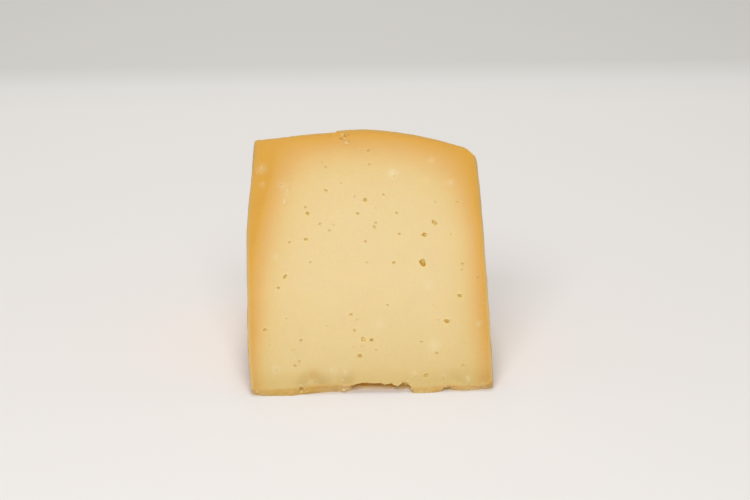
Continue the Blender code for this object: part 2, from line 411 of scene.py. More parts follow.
# How the smoke has coloured the paste in from the wheel's two flat sides, in mm: distance from
# the axis, depth that is fully coloured, and the length over which the colour fades behind it
LEFT_SMOKE = (
    (10.0, 0.8, 4.5),
    (40.0, 0.2, 7.0),
    (64.0, 2.5, 8.5),
    (85.0, 6.0, 8.0),
    (100.0, 7.5, 8.0),
)
RIGHT_SMOKE = (
    (10.0, 0.5, 6.5),
    (64.0, 0.5, 7.0),
    (85.0, 2.0, 8.5),
    (100.0, 3.0, 9.0),
)

# In from the heel, the depth and the length are the same all along
HEEL_SMOKE = (1.0 * MM, 11.5 * MM)
SMOKE_FADE_POWER = 1.2

# Near the thin front edge the smoke has coloured the paste less
FRONT_SMOKE = 0.64
FULL_SMOKE_RADIUS = 30.0 * MM

# How far in from the rind and from the front edge's broken strip the paste has dried, the strip's
# ochre being partly painted shade, and how far from its corners the rind is rubbed
RIND_BAND = 1.9 * MM
FRONT_BAND = 1.0 * MM
RUBBED_REACH = 5.0 * MM

# A point belongs to the leaning face from this share of the wedge's angle on
LEANING_FACE_SWING = 0.98

# The camera looks at a point of the leaning face's middle from nearly straight ahead
CAMERA_TARGET = (46.05 * MM, 0.0, 56.0 * MM)
CAMERA_AZIMUTH = math.radians(-3.44)
CAMERA_ELEVATION = math.radians(18.0)
CAMERA_DISTANCE = 750.0 * MM
CAMERA_LENS = 100.0

# The pale table runs on behind the cheese and turns grey far back, painted shade for the dimmer
# back of the set: how far behind the axis the turn starts and ends
FLOOR_SIZE = 6.0
FLOOR_TURN_START = 440.0 * MM
FLOOR_TURN_END = 545.0 * MM

# The dim dome, and the softboxes in metres and watts: place, the point that it faces, its two
# sides and its power
DOME_COLOUR = (1.0, 0.985, 0.97, 1.0)
DOME_STRENGTH = 0.25
SOFTBOXES = {
    "overhead_softbox": ((0.0, 0.75, 1.15), (0.0, 0.75, 0.0), (0.30, 1.7), 8.4),
    "front_softbox": ((-0.17, -0.95, 0.85), (0.0, 0.0, 0.03), (0.9, 0.5), 9.8),
}


def linear_colour(red, green, blue):
    """An eight-bit sRGB colour as the shader's linear values."""
    def channel(value):
        share = value / 255.0
        if share <= 0.04045:
            return share / 12.92
        return ((share + 0.055) / 1.055) ** 2.4
    return (channel(red), channel(green), channel(blue), 1.0)


# The paste by its share of smoke, from clean to smoked, and a shade by its distance from the
# axis, deeper towards the thin front edge: painted shade near the table, partly drier paste
PASTE_RAMP = (
    (0.0, linear_colour(234, 209, 154)),
    (0.24, linear_colour(231, 202, 139)),
    (0.38, linear_colour(230, 194, 127)),
    (0.63, linear_colour(226, 180, 105)),
    (0.86, linear_colour(223, 171, 81)),
    (1.0, linear_colour(219, 164, 65)),
)
LOW_PAINTED_SHADE_RAMP = (
    (0.05, (0.84, 0.79, 0.61, 1.0)),
    (0.10, (0.91, 0.89, 0.78, 1.0)),
    (0.20, (0.955, 0.945, 0.89, 1.0)),
    (0.40, (1.0, 1.0, 1.0, 1.0)),
)

# What lies over the paste: the dried band at the rind by its distance from the axis, dried
# patches, darker and stained patches, the broken strip's ochre, partly painted shade, painted
# shadow under the lip, pale crumbly paste with painted light, and the eyes' rims, painted pale
# as if lit
DRIED_BAND_RAMP = ((0.3, linear_colour(213, 182, 119)), (0.9, linear_colour(198, 160, 90)))
DRIED_PASTE = linear_colour(243, 224, 182)
DRIED_STRENGTH = 0.55
DARKER_PATCH_SHADE = (0.82, 0.80, 0.74, 1.0)
STAINED_SHADE = (0.86, 0.72, 0.52, 1.0)
# The broken strip's darker ochre: drier paste, with painted shade and floor bounce
DRIED_FRONT_AND_PAINTED_SHADE = linear_colour(208, 168, 92)
# Painted shadow under the lip, where the strip is cut in deep
UNDERCUT_PAINTED_SHADE = linear_colour(192, 134, 36)
# Pale crumbly paste at an undercut's foot and on pale stretches, partly painted light
CRUMBLY_AND_PAINTED_LIGHT = linear_colour(246, 220, 178)
# A pale rim round the larger eyes' mouths: painted light, as where a pit's edge catches it
EYE_RIM_PAINTED_LIGHT = linear_colour(250, 220, 142)
EYE_RIM_PAINTED_LIGHT_STRENGTH = 0.8

# The rind by its mottling, and what lies over it
RIND_RAMP = (
    (0.36, linear_colour(180, 118, 46)),
    (0.50, linear_colour(211, 153, 70)),
    (0.64, linear_colour(228, 178, 96)),
)
RIND_RUBBED = linear_colour(229, 178, 92)
RUBBED_STRENGTH = 0.5
RIND_BLOOM = linear_colour(232, 198, 134)
BLOOM_STRENGTH = 0.35
RIND_CRACK = linear_colour(158, 102, 44)
CRACK_STRENGTH = 0.15
RIND_PORE = linear_colour(136, 86, 38)
PORE_STRENGTH = 0.5

# The eyes' walls by their depth below the face, darker with painted shade, and where the
# smoke reached them
EYE_PAINTED_SHADE_RAMP = (
    (0.0, linear_colour(236, 209, 141)),
    (0.15, linear_colour(229, 200, 130)),
    (0.35, linear_colour(222, 192, 117)),
    (0.5, linear_colour(217, 184, 94)),
    (0.68, linear_colour(201, 147, 40)),
)
EYE_SMOKED = linear_colour(206, 152, 74)

# The driest crumbs, how dry the others are, and the share of smoke from which a crumb keeps no
# more than this much of its dryness
DRIED_CRUMB = linear_colour(247, 225, 177)
CRUMB_DRYNESS = (0.45, 0.85)
SMOKED_CRUMB = 0.6
SMOKED_DRYNESS = 0.5

# The table from the cheese to far behind it, with painted shade far back
TABLE_AND_PAINTED_SHADE_RAMP = (
    (0.0, linear_colour(240, 236, 232)),
    (0.45, linear_colour(236, 235, 231)),
    (1.0, linear_colour(222, 220, 215)),
)

# How light passes through: how much of it, how far, and how much of each colour
PASTE_INSIDE = (0.25, 3.0 * MM, (1.0, 0.62, 0.28))
RIND_INSIDE = (0.12, 1.5 * MM, (1.0, 0.55, 0.2))
EYE_INSIDE = (0.15, 1.5 * MM, (1.0, 0.6, 0.25))
CRUMB_INSIDE = (0.2, 1.0 * MM, (1.0, 0.7, 0.4))

# The mix node's sockets for its share, its two colours and their mixture, by their places,
# because their names stand for other kinds of values too
MIX_SHARE, MIX_FIRST, MIX_SECOND, MIXTURE = 0, 6, 7, 2


def smooth_step(value):
    """0 up to 0, then a soft rise to 1 at 1."""
    value = min(max(value, 0.0), 1.0)
    return value * value * (3.0 - 2.0 * value)


def read_stations(stations, place):
    """The values between the two stations around this place. The stations are in mm."""
    place = min(max(place / MM, stations[0][0]), stations[-1][0])
    for (start, *first), (end, *last) in zip(stations, stations[1:]):
        if place <= end:
            break
    share = (place - start) / (end - start)
    return [MM * (low + (high - low) * share) for low, high in zip(first, last)]


def relief(place, waves):
    """How far a surface stands out here, from its (wave, depth) pairs."""
    return sum(depth * noise.noise(place / wave + RELIEF_SEED) for wave, depth in waves)


def axis_start():
    """The start of the wheel's axis on the table, from the model's box."""
    low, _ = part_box("cheese")
    return Vector((low.x + LEFT_BULGE, low.y + FRONT_BULGE, 0.0))


# The form of the wheel and of the wedge

def left_side(radius, swing=1.0):
    """Where the wheel's left flat side stands along the axis, at this distance from it.

    The swing is the share of the way up from the table face to the leaning face.
    """
    past_start = radius - LEFT_TAPER_START
    taper = LEFT_TAPER_SLOPE * 0.5 * (past_start + math.hypot(past_start, LEFT_TAPER_BLEND))
    draw = LEFT_DRAW * (1.0 - smooth_step(radius / DRAW_REACH))
    return taper + draw + LEFT_SLANT * (1.0 - swing) - LEFT_BELLY


def right_side(radius):
    """Where the wheel's right flat side stands along the axis, at this distance from it."""
    taper = RIGHT_TAPER * (radius / WHEEL_RADIUS) ** RIGHT_TAPER_POWER
    draw = RIGHT_DRAW * (1.0 - smooth_step(radius / DRAW_REACH))
    return WHEEL_HEIGHT - taper - draw


def side_gap(along, radius, swing=1.0):
    """How far in this place is from the nearer of the wheel's two flat sides."""
    return min(along - left_side(radius, swing), right_side(radius) - along)


def heel_radius(along, wander=0.0):
    """The heel's distance from the axis, at this place along it, with the ledge shifted a little."""
    if along < HEEL_PEAK:
        share = min((HEEL_PEAK - along) / HEEL_PEAK, 1.0)
        ledge = LEDGE_FALL * smooth_step((LEDGE_PLACE + wander - along) / LEDGE_WIDTH)
        return WHEEL_RADIUS - ledge - LEFT_FALL * share ** LEFT_FALL_POWER
    share = min((along - HEEL_PEAK) / (WHEEL_HEIGHT - HEEL_PEAK), 1.0)
    return WHEEL_RADIUS - RIGHT_FALL * share ** RIGHT_FALL_POWER


def front_edge(along):
    """Where the leaning face and the table face break off at the crumbled front edge."""
    along = min(max(along, 0.0), WHEEL_HEIGHT)
    face_break, table_break = read_stations(FRONT_EDGE, along)
    crumbling = relief(Vector((along, 0.0, 0.0)), LIP_RELIEF)
    return face_break + crumbling, table_break - crumbling


def overhang(along):
    """How far the lip stands out in front of the broken strip's foot."""
    face_break, table_break = front_edge(along)
    return table_break - face_break * math.cos(WEDGE_ANGLE)


def front_point(along, swing):
    """A point of the front edge's broken strip, at this share of the way up it.

    The strip stands upright and curls forward under the lip where the lip stands out over it.
    """
    face_break, table_break = front_edge(along)
    curl = smooth_step((overhang(along) - CURL_START) / CURL_LENGTH)
    forward = swing ** (1.0 + CURL_STRENGTH * curl)
    lip = Vector((0.0, math.cos(WEDGE_ANGLE), math.sin(WEDGE_ANGLE))) * face_break
    return Vector((0.0, table_break + (lip.y - table_break) * forward, lip.z * swing))


def round_corner(into_side, into_heel):
    """A point of the unit square, drawn into the unit quarter circle."""
    return (
        into_side * math.sqrt(1.0 - 0.5 * into_heel * into_heel),
        into_heel * math.sqrt(1.0 - 0.5 * into_side * into_side),
    )


def outline_point(across, outward, front, swing):
    """A point of the wheel's half section, from its shares across the wheel and out to the heel."""
    wander = (1.0 - swing) * LEDGE_WANDER * noise.noise(RELIEF_SEED * swing / LEDGE_WANDER_WAVE)
    heel = heel_radius(across * WHEEL_HEIGHT, wander)
    radius = front + (heel - front) * outward
    left = left_side(radius, swing)
    right = right_side(radius)
    along = left + (right - left) * across
    for side, corner, direction in (
        (left, LEFT_CORNER_RADIUS, -1.0),
        (right, RIGHT_CORNER_RADIUS, 1.0),
    ):
        into_side = 1.0 - direction * (side - along) / corner
        into_heel = 1.0 - (heel - radius) / corner
        if into_side > 0.0 and into_heel > 0.0:
            side_share, heel_share = round_corner(into_side, into_heel)
            along = side + direction * corner * (side_share - 1.0)
            radius = heel + corner * (heel_share - 1.0)
    return along, radius


def rim_wear(place):
    """How far a rim is rubbed back here."""
    worn = RIM_WEAR * (1.0 + noise.noise(place / RIM_WEAR_WAVE + RELIEF_SEED))
    nick = noise.noise(place / NICK_WAVE - RELIEF_SEED) - NICK_START
    return worn + NICK_DEPTH * max(nick, 0.0)


def worn_rims(place, surfaces):
    """How a point moves where two surfaces meet in a rim, from its gap to each of them."""
    move = Vector()
    for index, (first_gap, first) in enumerate(surfaces):
        for second_gap, second in surfaces[index + 1:]:
            near = max(1.0 - (first_gap + second_gap) / RIM_REACH, 0.0)
            move -= (first + second) * near * near
    if move.length_squared > 0.0:
        move *= rim_wear(place)
    return move


def wedge_point(across, outward, swing):
    """The place of a point of the spun section, once it is settled into the wedge's form.

    Its three shares run across the wheel, out to its heel and up from the table.
    """
    start = front_point(across * WHEEL_HEIGHT, swing)
    front = start.length
    along, radius = outline_point(across, outward, front, swing)
    heel = outline_point(across, 1.0, front, swing)[1]
    ray = Vector((0.0, math.cos(WEDGE_ANGLE * swing), math.sin(WEDGE_ANGLE * swing)))
    place = start.lerp(ray * heel, (radius - front) / (heel - front))
    place.x = along
    side = Vector((1.0 if across > 0.5 else -1.0, 0.0, 0.0))
    settled = place + worn_rims(place, (
        (side_gap(along, radius, swing), side),
        (heel - radius, ray),
        (radius * math.sin(WEDGE_ANGLE * (1.0 - swing)), LEANING_NORMAL),
    ))
    if min(across, 1.0 - across) < TINY:
        settled += side * relief(place, RIND_RELIEF)
    if outward > 1.0 - TINY:
        settled += ray * relief(place, RIND_RELIEF)
    if outward < TINY:
        halfway_up = 4.0 * swing * (1.0 - swing)
        settled.y -= halfway_up * relief(place, CRUMB_RELIEF)
    if swing > 1.0 - TINY:
        settled += LEANING_NORMAL * relief(place, CUT_RELIEF)
    return settled


def gather(share, strength):
    """Moves even shares towards both ends, where the rims need finer faces."""
    return share - strength * math.sin(2.0 * math.pi * share) / (2.0 * math.pi)


def select_only(piece):
    bpy.ops.object.select_all(action="DESELECT")
    piece.select_set(True)
    bpy.context.view_layer.objects.active = piece


def spin_half_section():
    """An even block: a square of 1 by 1, 1 out from the axis, spun through the wedge's angle."""
    bpy.ops.mesh.primitive_grid_add(
        x_subdivisions=COLUMNS, y_subdivisions=ROWS, size=1.0, location=(0.5, 1.5, 0.0))
    wedge = bpy.context.object
    wedge.name = "cheese_wedge"
    wedge.data.name = "cheese_wedge"
    bpy.ops.object.transform_apply(location=True, rotation=False, scale=False)
    bpy.ops.object.mode_set(mode="EDIT")
    bpy.ops.mesh.select_all(action="SELECT")
    bpy.ops.mesh.spin(steps=LAYERS, angle=-WEDGE_ANGLE, center=(0, 0, 0), axis=(1, 0, 0))
    bpy.ops.mesh.select_all(action="SELECT")
    bpy.ops.mesh.remove_doubles(threshold=TINY)
    bpy.ops.mesh.normals_make_consistent(inside=False)
    bpy.ops.object.mode_set(mode="OBJECT")
    return wedge


def keep_in_model_box(mesh):
    """Draws points that stand out of the model's box back to its sides."""
    low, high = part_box("cheese")
    for vert in mesh.vertices:
        for side in range(3):
            vert.co[side] = min(max(vert.co[side], low[side]), high[side])


def build_wedge(origin, paste, rind):
    """The wedge: an even block whose points are settled into the cheese's form."""
    wedge = spin_half_section()
    mesh = wedge.data
    mesh.materials.append(paste)
    mesh.materials.append(rind)
    for face in mesh.polygons:
        corners = [mesh.vertices[index].co for index in face.vertices]
        on_rind = (
            all(corner.x < TINY for corner in corners)
            or all(corner.x > 1.0 - TINY for corner in corners)
            or all(math.hypot(corner.y, corner.z) > 2.0 - TINY for corner in corners)
        )
        face.material_index = RIND_SLOT if on_rind else PASTE_SLOT
    for vert in mesh.vertices:
        across = vert.co.x
        outward = gather(math.hypot(vert.co.y, vert.co.z) - 1.0, ROW_GATHER)
        swing = gather(math.atan2(vert.co.z, vert.co.y) / WEDGE_ANGLE, LAYER_GATHER)
        vert.co = wedge_point(across, outward, swing) + origin
    keep_in_model_box(mesh)
    return wedge


# Blobs, for the eyes to cut and for the crumbs

def copy_shaped(blob, shape, seed, unevenness, growth):
    """A copy of the blob with its own mesh, made uneven and put into shape by a matrix."""
    copy = blob.copy()
    copy.data = blob.data.copy()
    bpy.context.collection.objects.link(copy)
    shift = Vector([seed * step for step in COPY_STEP])
    for vert in copy.data.vertices:
        spot = vert.co.copy()
        spot *= 1.0 + unevenness * noise.noise(spot * BLOB_WAVES + shift)
        spot.x *= 1.0 + growth * spot.y
        vert.co = shape @ spot
    return copy


def add_blobs(name, shapes, subdivisions, unevenness):
    """One piece of uneven balls, each with its matrix, and with its growth from foot to top."""
    bpy.ops.mesh.primitive_ico_sphere_add(subdivisions=subdivisions, radius=1.0)
    blob = bpy.context.object
    copies = [
        copy_shaped(blob, shape, seed, unevenness, growth)
        for seed, (shape, growth) in enumerate(shapes)
    ]
    bpy.data.objects.remove(blob, do_unlink=True)
    select_only(copies[0])
    for copy in copies:
        copy.select_set(True)
    bpy.ops.object.join()
    joined = bpy.context.object
    joined.name = name
    joined.data.name = name
    return joined


def leaning_face_frame(origin):
    """X along the axis, Y up the leaning face and Z out of it."""
    return Matrix.Translation(origin) @ Matrix.Rotation(WEDGE_ANGLE, 4, "X")


def table_face_frame(origin):
    """X back along the axis, Y across the table face and Z down out of it."""
    return Matrix.Translation(origin) @ Matrix.Rotation(math.pi, 4, "Y")


def put_on_face(face_frame, along, outward, width, height, turn, depth, sink=0.0):
    """The matrix that makes a unit ball a blob on a face of the cut, from mm and degrees."""
    place = Matrix.Translation((along * MM, outward * MM, -sink * MM))
    turned_place = place @ Matrix.Rotation(math.radians(turn), 4, "Z")
    half_sizes = (width * MM / 2.0, height * MM / 2.0, depth * MM)
    return face_frame @ turned_place @ Matrix.Diagonal((*half_sizes, 1.0))


# The eyes

def table_face_eyes():
    """Seeded places, sizes and turns of the table face's eyes."""
    draw = random.Random(EYE_SEED)
    middle = Vector(TABLE_FACE_SIDES) / 2.0
    places = []
    while len(places) < TABLE_FACE_EYE_COUNT:
        place = Vector([
            draw.uniform(TABLE_FACE_EDGE, side - TABLE_FACE_EDGE) for side in TABLE_FACE_SIDES
        ])
        clear = (place - middle).length > TABLE_FACE_REST_RADIUS
        if clear and all((place - other).length > EYE_GAP for other in places):
            places.append(place)
    eyes = []
    for place in places:
        width = draw.uniform(*TABLE_FACE_EYE_SIZES)
        height = draw.uniform(*TABLE_FACE_EYE_SIZES)
        eyes.append((-place.x, place.y, width, height, draw.uniform(0.0, 180.0)))
    return eyes


def eye_shape(face_frame, along, outward, width, height, turn):
    """The matrix that makes a unit ball an eye, sunk a little below the face."""
    depth = EYE_DEPTH_RATIO * min(width, height)
    sink = EYE_SINK_RATIO * min(width, height)
    return put_on_face(face_frame, along, outward, width, height, turn, depth, sink)


def eye_shapes(origin):
    """Each eye's matrix, and how much its width grows from its foot to its top."""
    leaning_face = leaning_face_frame(origin)
    table_face = table_face_frame(origin)
    shapes = [(eye_shape(leaning_face, *eye), growth) for *eye, growth in LEANING_FACE_EYES]
    shapes += [(put_on_face(leaning_face, *eye), 0.0) for eye in GRAZED_EYES]
    shapes += [(eye_shape(table_face, *eye), 0.0) for eye in table_face_eyes()]
    return shapes


def cut_eyes(wedge, origin, eye):
    """Cuts all the eyes out of the wedge at once. Their walls bring the eyes' own material."""
    cutter = add_blobs("eye_cutter", eye_shapes(origin), EYE_SUBDIVISIONS, EYE_UNEVENNESS)
    cutter.data.materials.append(eye)
    select_only(wedge)
    eyes = wedge.modifiers.new("eyes", "BOOLEAN")
    eyes.operation = "DIFFERENCE"
    eyes.solver = "EXACT"
    eyes.material_mode = "TRANSFER"
    eyes.object = cutter
    bpy.ops.object.modifier_apply(modifier=eyes.name)
    bpy.data.objects.remove(cutter, do_unlink=True)
    bpy.ops.object.shade_smooth_by_angle(angle=SMOOTH_ANGLE)


# The crumbs

def edge_crumb_shape(origin, along, swing, size):
    """The matrix that makes a unit ball a crumb on the front edge's broken strip."""
    place = front_point(along * MM, swing) + origin
    place.x = along * MM + origin.x
    turn = Matrix.Rotation(along, 4, EDGE_CRUMB_AXIS)
    half_sizes = [share * size * MM for share in EDGE_CRUMB_HALF_SIZES]
    return Matrix.Translation(place) @ turn @ Matrix.Diagonal((*half_sizes, 1.0))


def add_crumbs(origin, crumb):
    """Pale crumbs and flakes that stick to the leaning face and to the broken front edge."""
    leaning_face = leaning_face_frame(origin)
    shapes = [(put_on_face(leaning_face, *row, FACE_CRUMB_DEPTH), 0.0) for row in FACE_CRUMBS]
    shapes += [(edge_crumb_shape(origin, *row), 0.0) for row in EDGE_CRUMBS]
    crumbs = add_blobs("cheese_crumbs", shapes, CRUMB_SUBDIVISIONS, CRUMB_UNEVENNESS)
    crumbs.data.materials.append(crumb)
    bpy.ops.object.shade_smooth_by_angle(angle=SMOOTH_ANGLE)
    keep_in_model_box(crumbs.data)
    return crumbs


# What the finish reads at each point of the cheese

def fade(gap, full, length):
    """1 as far as the full depth, fading to 0 behind it."""
    return math.exp(-(max(gap - full, 0.0) / length) ** SMOKE_FADE_POWER)


def smoke_share(along, radius):
    """How far the smoke has coloured the paste here: 1 at the rind and 0 deep inside."""
    clean = 1.0 - fade(heel_radius(along) - radius, *HEEL_SMOKE)
    clean *= 1.0 - fade(along - left_side(radius), *read_stations(LEFT_SMOKE, radius))
    clean *= 1.0 - fade(right_side(radius) - along, *read_stations(RIGHT_SMOKE, radius))
    strength = FRONT_SMOKE + (1.0 - FRONT_SMOKE) * smooth_step(radius / FULL_SMOKE_RADIUS)
    return strength * (1.0 - clean)


def rind_band_share(along, radius, swing):
    """1 at the rind, 0 past the narrow band where the paste has dried."""
    gap = min(side_gap(along, radius, swing), heel_radius(along) - radius)
    return 1.0 - smooth_step(gap / RIND_BAND)


def rubbed_share(along, radius):
    """1 on the rind's corners between the flat sides and the heel, 0 a little away from them."""
    gap = max(side_gap(along, radius), heel_radius(along) - radius)
    return 1.0 - smooth_step(gap / RUBBED_REACH)


def undercut_depth(along):
    """1 where the strip is cut in deep below the lip, 0 where it is upright."""
    return smooth_step((overhang(along) - UNDERCUT_START) / UNDERCUT_LENGTH)


def front_band_share(along, radius, swing):
    """1 on the broken strip of the front edge, 0 a little behind it or on a lip."""
    gap = radius - front_point(along, swing).length
    share = 1.0 - smooth_step(gap / FRONT_BAND)
    if swing > LEANING_FACE_SWING:
        share *= 1.0 - undercut_depth(along)
    return share


def patch_share(patches, along, radius):
    """How strongly the leaning face's soft patches show here."""
    share = 0.0
    for patch_along, patch_radius, size, strength in patches:
        gap = math.hypot(along - patch_along * MM, radius - patch_radius * MM) / (size * MM)
        share = max(share, strength * math.exp(-PATCH_FALL * gap * gap))
    return share


def undercut_painted_shade_share(along, radius, swing):
    """Painted shadow: 1 under the lip where the strip is cut in deep, 0 where it is upright."""
    under_lip = smooth_step(swing / UNDERCUT_DARK)
    return undercut_depth(along) * under_lip * front_band_share(along, radius, swing)


def crumbly_and_painted_light_share(along, radius, swing):
    """1 at an undercut's pale, crumbly foot, and some on the strip's pale stretches: paler paste,
    partly painted light.
    """
    share = undercut_depth(along) * (1.0 - smooth_step(swing / FOOT_RISE))
    kept = 1.0 - PALE_STRETCH_LOSS * smooth_step(swing)
    for middle, half_length, strength in PALE_STRETCHES:
        gap = (along - middle * MM) / (half_length * MM)
        share = max(share, strength * math.exp(-gap * gap) * kept)
    return share * front_band_share(along, radius, swing)


def eye_rim_painted_light_strength(place):
    """How clearly the nearest eye shows its pale rim of painted light: 1 for large eyes in clean
    paste.
    """
    radius = math.hypot(place.y, place.z)
    gaps = [
        (math.hypot(place.x - along * MM, radius - outward * MM), width * height)
        for along, outward, width, height, *_ in LEANING_FACE_EYES + GRAZED_EYES
    ]
    area = min(gaps)[1]
    strength = smooth_step((area - SMALL_EYE_AREA) / LARGE_EYE_AREA)
    return strength * (1.0 - smoke_share(place.x, radius))


def eye_rim_painted_light_shares(wedge, origin):
    """The strength of the pale rim of painted light at the points where an eye opens in a face, 0
    elsewhere.
    """
    mesh = wedge.data
    in_eye = [False] * len(mesh.vertices)
    in_face = [False] * len(mesh.vertices)
    for face in mesh.polygons:
        found = in_eye if face.material_index == EYE_SLOT else in_face
        for index in face.vertices:
            found[index] = True
    return [
        eye_rim_painted_light_strength(vert.co - origin) if inner and outer else 0.0
        for vert, inner, outer in zip(mesh.vertices, in_eye, in_face)
    ]


def smoke_shares(place):
    """How smoked a point is, and how far out towards the heel."""
    radius = math.hypot(place.y, place.z)
    return {"smoke": smoke_share(place.x, radius), "outward": radius / WHEEL_RADIUS}


def finish_shares(place):
    """What the wedge's materials read at a point of it."""
    along = place.x
    radius = math.hypot(place.y, place.z)
    swing = min(max(math.atan2(place.z, place.y) / WEDGE_ANGLE, 0.0), 1.0)
    shares = smoke_shares(place)
    shares["rind_band"] = rind_band_share(along, radius, swing)
    shares["rubbed"] = rubbed_share(along, radius)
    shares["front_band"] = front_band_share(along, radius, swing)
    shares["undercut_painted_shade"] = undercut_painted_shade_share(along, radius, swing)
    shares["crumbly_and_painted_light"] = crumbly_and_painted_light_share(along, radius, swing)
    shares["cut_depth"] = min(-LEANING_NORMAL.dot(place), place.z) / DEEP_EYE
    on_leaning_face = swing > LEANING_FACE_SWING
    for name, patches in SOFT_PATCHES.items():
        shares[name] = patch_share(patches, along, radius) if on_leaning_face else 0.0
    return shares


def write_shares(piece, points):
    """Stores the shares of a piece's points as its attributes."""
    for name in points[0]:
        attribute = piece.data.attributes.new(name, "FLOAT", "POINT")
        attribute.data.foreach_set("value", [shares[name] for shares in points])


def write_wedge_shares(wedge, origin):
    """The wedge's materials read all the shares, and how clear the eyes' pale rims of painted light
    are.
    """
    points = [finish_shares(vert.co - origin) for vert in wedge.data.vertices]
    for shares, eye_rim_painted_light in zip(points, eye_rim_painted_light_shares(wedge, origin)):
        shares["eye_rim_painted_light"] = eye_rim_painted_light
    write_shares(wedge, points)


def write_crumb_shares(crumbs, origin):
    """The crumbs are as smoked as the paste around them, and carry its painted shade."""
    write_shares(crumbs, [smoke_shares(vert.co - origin) for vert in crumbs.data.vertices])


# Materials

def start_material(name):
    material = bpy.data.materials.new(name)
    material.use_nodes = True
    tree = material.node_tree
    return material, tree, tree.nodes["Principled BSDF"]


def set_inputs(tree, made, inputs):
    """Sets a node's inputs to numbers, colours or other nodes' sockets."""
    for name, value in inputs.items():
        if isinstance(value, bpy.types.NodeSocket):
            tree.links.new(value, made.inputs[name])
        else:
            made.inputs[name].default_value = value


def add_node(tree, kind, inputs=None, **settings):
    made = tree.nodes.new(kind)
    for name, value in settings.items():
        setattr(made, name, value)
    set_inputs(tree, made, inputs or {})
    return made


def read_share(tree, name):
    return add_node(tree, "ShaderNodeAttribute", attribute_name=name).outputs["Fac"]


def object_place(tree):
    return add_node(tree, "ShaderNodeTexCoord").outputs["Object"]


def add_noise(tree, wave, detail=2.0, roughness=0.5, stretch=(1.0, 1.0, 1.0)):
    """Noise over the piece, with waves of this length."""
    place = add_node(tree, "ShaderNodeMapping", {"Vector": object_place(tree), "Scale": stretch})
    return add_node(tree, "ShaderNodeTexNoise", {
        "Vector": place.outputs["Vector"],
        "Scale": 1.0 / wave,
        "Detail": detail,
        "Roughness": roughness,
    }).outputs["Fac"]


def add_cells(tree, wave, feature, warp):
    """The distances of an uneven pattern of cells: from their middles, or from their edges."""
    place = object_place(tree)
    bend = add_node(tree, "ShaderNodeTexNoise", {"Vector": place, "Scale": 1.0 / wave, "Detail": 2.0})
    bent = add_node(tree, "ShaderNodeVectorMath", {
        0: bend.outputs["Color"],
        1: (warp, warp, warp),
        2: place,
    }, operation="MULTIPLY_ADD").outputs["Vector"]
    return add_node(
        tree, "ShaderNodeTexVoronoi", {"Vector": bent, "Scale": 1.0 / wave}, feature=feature
    ).outputs["Distance"]


def calculate(tree, operation, first, second, limit=False):
    return add_node(
        tree, "ShaderNodeMath", {0: first, 1: second}, operation=operation, use_clamp=limit
    ).outputs[0]


def centred(tree, value, amount):
    """Noise between 0 and 1, as a number between minus and plus half of the amount."""
    return calculate(tree, "MULTIPLY", calculate(tree, "SUBTRACT", value, 0.5), amount)


def change_over(tree, value, start, end, first=0.0, last=1.0):
    """The first number up to the start, and from there an even change to the last at the end."""
    return add_node(tree, "ShaderNodeMapRange", {
        "Value": value,
        "From Min": start,
        "From Max": end,
        "To Min": first,
        "To Max": last,
    }).outputs["Result"]


def fade_out(tree, value, start, end):
    return change_over(tree, value, start, end, 1.0, 0.0)


def add_ramp(tree, value, stops):
    """A colour ramp over the value, from (position, colour) stops."""
    made = add_node(tree, "ShaderNodeValToRGB", {"Fac": value})
    elements = made.color_ramp.elements
    while len(elements) < len(stops):
        elements.new(0.5)
    for element, (position, colour) in zip(elements, stops):
        element.position = position
        element.color = colour
    return made.outputs["Color"]


def mix_colours(tree, share, first, second, blend_type="MIX"):
    inputs = {MIX_SHARE: share, MIX_FIRST: first, MIX_SECOND: second}
    made = add_node(tree, "ShaderNodeMix", inputs, data_type="RGBA", blend_type=blend_type)
    return made.outputs[MIXTURE]


def lay_over(tree, colour, layer, share, strength=1.0):
    """The colour with a layer over it, at most this strong."""
    return mix_colours(tree, calculate(tree, "MULTIPLY", share, strength), colour, layer)


def vary_brightness(tree, colour, value, amount):
    """Makes the colour lighter and darker with the noise."""
    brightness = calculate(tree, "ADD", centred(tree, value, amount), 1.0)
    made = add_node(tree, "ShaderNodeHueSaturation", {"Value": brightness, "Color": colour})
    return made.outputs["Color"]


def soften_and_bump(tree, surface, soft_inside, height, depth):
    """Lets light pass a little way through, and gives the surface a grain of this depth."""
    weight, reach, spread = soft_inside
    set_inputs(tree, surface, {
        "Subsurface Weight": weight,
        "Subsurface Scale": reach,
        "Subsurface Radius": spread,
        "Normal": add_node(
            tree, "ShaderNodeBump", {"Height": height, "Distance": depth}
        ).outputs["Normal"],
    })


def smoked_colour(tree):
    """Pale where the paste is clean, then peach and amber the more smoke it took up."""
    wander = centred(tree, add_noise(tree, 19.0 * MM), 0.12)
    smoke = calculate(tree, "ADD", read_share(tree, "smoke"), wander, limit=True)
    return add_ramp(tree, smoke, PASTE_RAMP)


def paint_low_shade(tree, colour):
    """Makes the colour deeper towards the thin front edge: painted shade near the table, and partly
    the drier paste there.
    """
    shade = add_ramp(tree, read_share(tree, "outward"), LOW_PAINTED_SHADE_RAMP)
    return mix_colours(tree, 1.0, colour, shade, "MULTIPLY")


